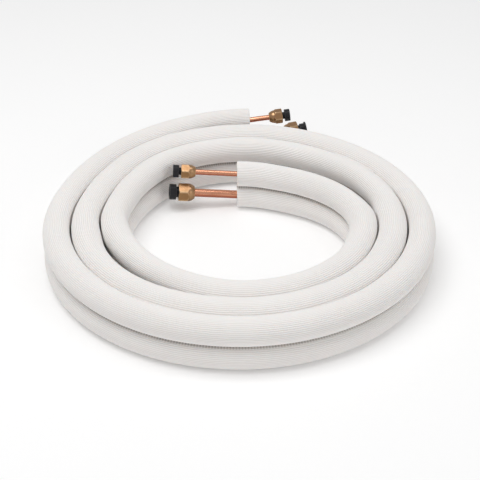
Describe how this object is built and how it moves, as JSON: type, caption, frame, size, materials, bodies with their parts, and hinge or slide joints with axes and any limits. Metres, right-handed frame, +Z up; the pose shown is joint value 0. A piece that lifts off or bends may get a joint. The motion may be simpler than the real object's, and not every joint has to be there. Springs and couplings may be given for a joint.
{
  "type": "mini split line set",
  "caption": "Insulated copper refrigerant line set for a mini split, coiled flat with its two lines stacked, with a flare nut and a plug on each bare end.",
  "frame": {"origin": "middle of the floor rectangle that the whole set covers, on the floor", "axes": "+Z up; +X along the outer bare ends, to the right in the picture's view; +Y away from the viewer"},
  "size_m": [0.4252, 0.4734, 0.0563],
  "materials": {
    "insulation": "embossed soft foam skin",
    "copper": "bright drawn copper",
    "brass": "satin machined brass",
    "plug": "moulded"
  },
  "bodies": {
    "coil": {"liquid_insulation": "insulation", "suction_insulation": "insulation", "liquid_copper_tube": "copper", "suction_copper_tube": "copper"},
    "liquid_outer_nut": {"liquid_outer_flare_nut": "brass"},
    "liquid_inner_nut": {"liquid_inner_flare_nut": "brass"},
    "suction_outer_nut": {"suction_outer_flare_nut": "brass"},
    "suction_inner_nut": {"suction_inner_flare_nut": "brass"},
    "liquid_outer_end_plug": {"liquid_outer_plug": "plug"},
    "liquid_inner_end_plug": {"liquid_inner_plug": "plug"},
    "suction_outer_end_plug": {"suction_outer_plug": "plug"},
    "suction_inner_end_plug": {"suction_inner_plug": "plug"}
  },
  "joints": [
    {"name": "liquid_outer_nut_spin", "type": "hinge", "parent": "coil", "child": "liquid_outer_nut", "pos_m": [0.03703, 0.21793, 0.04441], "axis": [0.9915, 0.0771, 0.1045], "continuous": true},
    {"name": "liquid_inner_nut_spin", "type": "hinge", "parent": "coil", "child": "liquid_inner_nut", "pos_m": [-0.05055, 0.08077, 0.04515], "axis": [-0.9972, -0.0257, 0.0698], "continuous": true},
    {"name": "suction_outer_nut_spin", "type": "hinge", "parent": "coil", "child": "suction_outer_nut", "pos_m": [0.05539, 0.22241, 0.01984], "axis": [0.9807, 0.1456, 0.1305], "continuous": true},
    {"name": "suction_inner_nut_spin", "type": "hinge", "parent": "coil", "child": "suction_inner_nut", "pos_m": [-0.05218, 0.07726, 0.01933], "axis": [-0.99, -0.0949, 0.1045], "continuous": true},
    {"name": "liquid_outer_plug_pull", "type": "slide", "parent": "liquid_outer_nut", "child": "liquid_outer_end_plug", "axis": [0.9915, 0.0771, 0.1045], "range_m": [0, 0.02]},
    {"name": "liquid_inner_plug_pull", "type": "slide", "parent": "liquid_inner_nut", "child": "liquid_inner_end_plug", "axis": [-0.9972, -0.0257, 0.0698], "range_m": [0, 0.004]},
    {"name": "suction_outer_plug_pull", "type": "slide", "parent": "suction_outer_nut", "child": "suction_outer_end_plug", "axis": [0.9807, 0.1456, 0.1305], "range_m": [0, 0.02]},
    {"name": "suction_inner_plug_pull", "type": "slide", "parent": "suction_inner_nut", "child": "suction_inner_end_plug", "axis": [-0.99, -0.0949, 0.1045], "range_m": [0, 0.003]}
  ]
}
